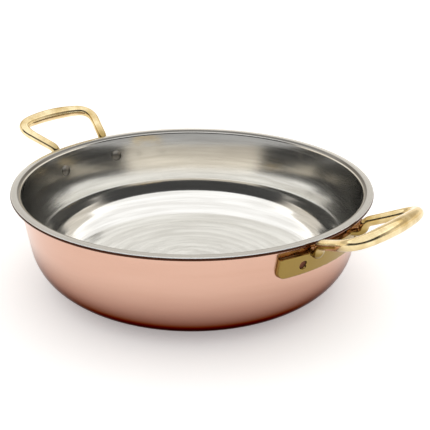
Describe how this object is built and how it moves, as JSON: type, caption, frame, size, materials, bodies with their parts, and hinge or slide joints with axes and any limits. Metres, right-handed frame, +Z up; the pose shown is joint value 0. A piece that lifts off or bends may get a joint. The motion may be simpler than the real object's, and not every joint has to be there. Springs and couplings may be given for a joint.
{
  "type": "omelette pan",
  "caption": "Round spun copper pan with a bright lining, a flat base, a turned-out lip and a pair of riveted brass loop handles.",
  "frame": {"origin": "middle of the base's underside, on the surface that the pan stands on", "axes": "+X towards the right-hand loop handle, with the other handle on -X; +Z up, out of the pan's mouth"},
  "size_m": [0.3214, 0.24, 0.0855],
  "materials": {
    "copper": "satin spun copper, pink",
    "lining": "bright spun tin, with fine turning rings",
    "brass": "polished cast brass",
    "rivet": "tinned rivet, dulled"
  },
  "bodies": {
    "root": {"copper_body": "copper", "tin_lining": "lining", "right_handle": "brass", "left_handle": "brass", "right_handle_front_rivet": "rivet", "right_handle_back_rivet": "rivet", "left_handle_front_rivet": "rivet", "left_handle_back_rivet": "rivet"}
  },
  "joints": []
}
